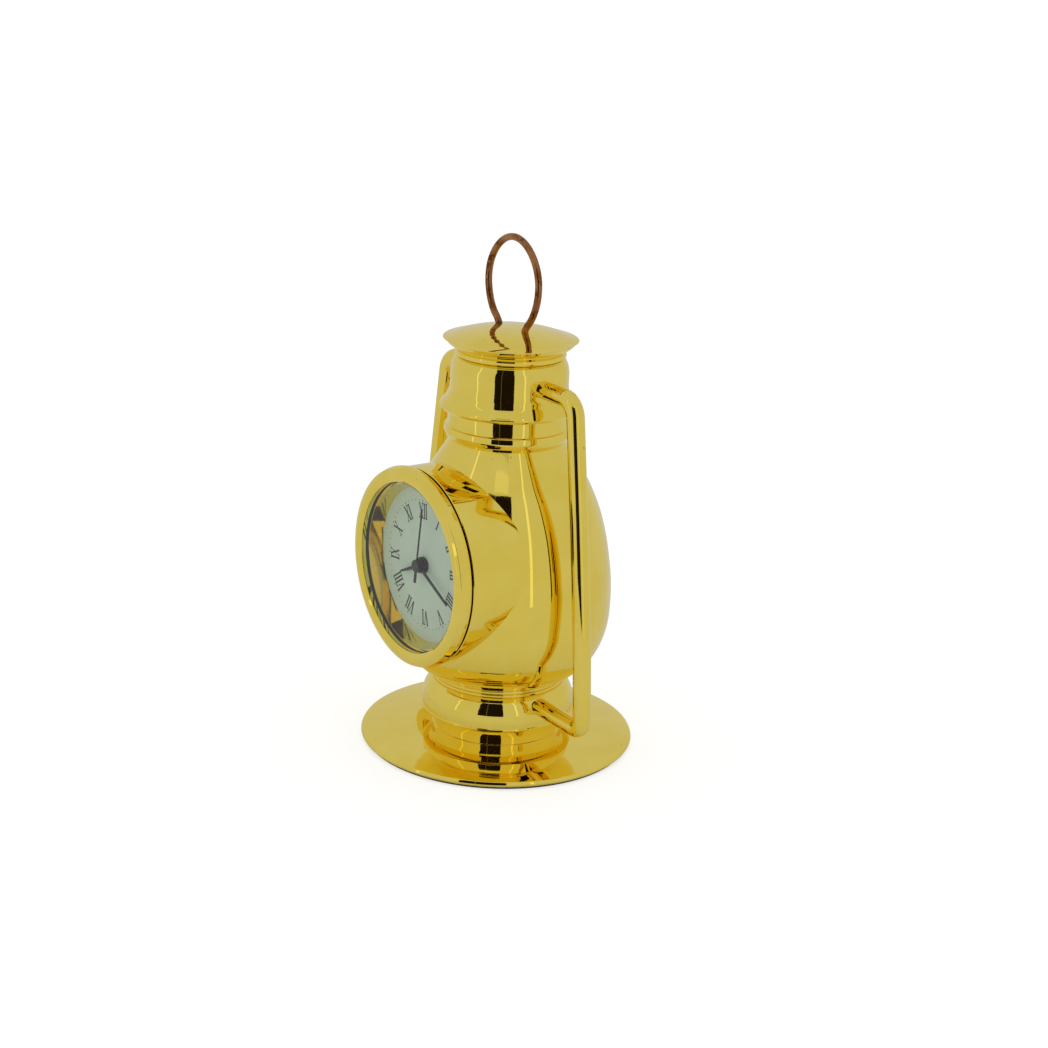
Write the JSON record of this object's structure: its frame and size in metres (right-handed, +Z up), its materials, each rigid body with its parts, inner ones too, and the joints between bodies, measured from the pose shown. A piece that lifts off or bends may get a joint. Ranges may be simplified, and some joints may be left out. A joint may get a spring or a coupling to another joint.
{
  "type": "mantel clock",
  "caption": "Polished-metal miniature clock shaped like a kerosene lantern, with a push-in quartz dial insert in a drum on its globe, side tubes, a wire bail and a felt-backed round base.",
  "frame": {"origin": "centre of the felt's underside, on the surface the clock stands on", "axes": "+Z up through the stack; the dial faces -Y; the side tubes lie along X"},
  "size_m": [0.0484, 0.044, 0.0819],
  "materials": {
    "gold": "mirror polished and lacquered",
    "felt": "matt felt",
    "bail_wire": "tarnished copper-brown wire",
    "steel": "bright zinc",
    "lens": "clear",
    "rubber": "matt",
    "plated_can": "plated",
    "cover_plastic": "fine grain",
    "dial_face": "satin grey-white",
    "dial_ink": "printed ink",
    "hand_black": "satin black",
    "holder_plastic": "moulded",
    "train_brass": "satin",
    "gear_plastic": "moulded",
    "magnet": "dark",
    "copper_wire": "enamelled copper",
    "board": "solder mask",
    "epoxy": "potting"
  },
  "bodies": {
    "case": {"felt_pad": "felt", "base_plate": "gold", "foot_ring": "gold", "tank": "gold", "lower_collar": "gold", "globe_body": "gold", "upper_collar": "gold", "chimney_band": "gold", "neck": "gold", "cap": "gold", "bail_ring": "bail_wire", "side_tube_left": "gold", "side_tube_right": "gold", "tie_screw": "steel", "tie_washers": "steel", "tie_nut": "steel"},
    "insert": {"bezel": "gold", "glass": "lens", "glass_gasket": "rubber", "insert_can": "plated_can", "back_cover": "cover_plastic", "grip_band": "rubber", "rehaut": "gold", "dial": "dial_face", "dial_print": "dial_ink", "movement_holder": "holder_plastic", "main_plate": "train_brass", "pillars": "steel", "train_bridge": "train_brass", "stator": "steel", "coil_core": "steel", "coil": "copper_wire", "circuit_board": "board", "board_chip": "epoxy", "quartz_can": "plated_can", "button_cell": "plated_can", "cell_contact": "plated_can", "cell_clip": "plated_can"},
    "hour_set": {"hour_hand": "hand_black", "hour_wheel": "train_brass"},
    "minute_set": {"minute_hand": "hand_black", "center_wheel": "train_brass"},
    "minute_work": {"minute_wheel": "train_brass"},
    "second_set": {"second_hand": "hand_black", "second_wheel": "train_brass"},
    "third_set": {"third_wheel": "train_brass"},
    "mid_set": {"mid_wheel": "gear_plastic"},
    "rotor_set": {"rotor": "magnet"},
    "setting_set": {"setting_stem": "gear_plastic", "setting_knob": "cover_plastic"}
  },
  "joints": [
    {"name": "insert_pull", "type": "slide", "parent": "case", "child": "insert", "axis": [0, -1, 0], "range_m": [0, 0.02]},
    {"name": "second_turn", "type": "hinge", "parent": "insert", "child": "second_set", "pos_m": [0, 0, 0.03146], "axis": [0, 1, 0], "continuous": true},
    {"name": "minute_turn", "type": "hinge", "parent": "insert", "child": "minute_set", "pos_m": [0, 0, 0.03146], "axis": [0, 1, 0], "continuous": true},
    {"name": "hour_turn", "type": "hinge", "parent": "insert", "child": "hour_set", "pos_m": [0, 0, 0.03146], "axis": [0, 1, 0], "continuous": true},
    {"name": "minute_work_turn", "type": "hinge", "parent": "insert", "child": "minute_work", "pos_m": [0.00416, 0, 0.02906], "axis": [0, 1, 0], "continuous": true},
    {"name": "third_turn", "type": "hinge", "parent": "insert", "child": "third_set", "pos_m": [0, 0, 0.03656], "axis": [0, 1, 0], "continuous": true},
    {"name": "mid_turn", "type": "hinge", "parent": "insert", "child": "mid_set", "pos_m": [-0.00442, 0, 0.02891], "axis": [0, 1, 0], "continuous": true},
    {"name": "rotor_turn", "type": "hinge", "parent": "insert", "child": "rotor_set", "pos_m": [-0.00218, 0, 0.02503], "axis": [0, 1, 0], "continuous": true},
    {"name": "setting_turn", "type": "hinge", "parent": "insert", "child": "setting_set", "pos_m": [0.00831, 0, 0.02666], "axis": [0, 1, 0], "continuous": true}
  ],
  "couplings": [
    {"joint": "minute_turn", "follows": "second_turn", "ratio": 0.016667},
    {"joint": "hour_turn", "follows": "second_turn", "ratio": 0.0013889},
    {"joint": "minute_work_turn", "follows": "second_turn", "ratio": -0.0055556},
    {"joint": "third_turn", "follows": "second_turn", "ratio": -0.13333},
    {"joint": "mid_turn", "follows": "second_turn", "ratio": -5},
    {"joint": "rotor_turn", "follows": "second_turn", "ratio": 30},
    {"joint": "setting_turn", "follows": "second_turn", "ratio": 0.016667}
  ]
}
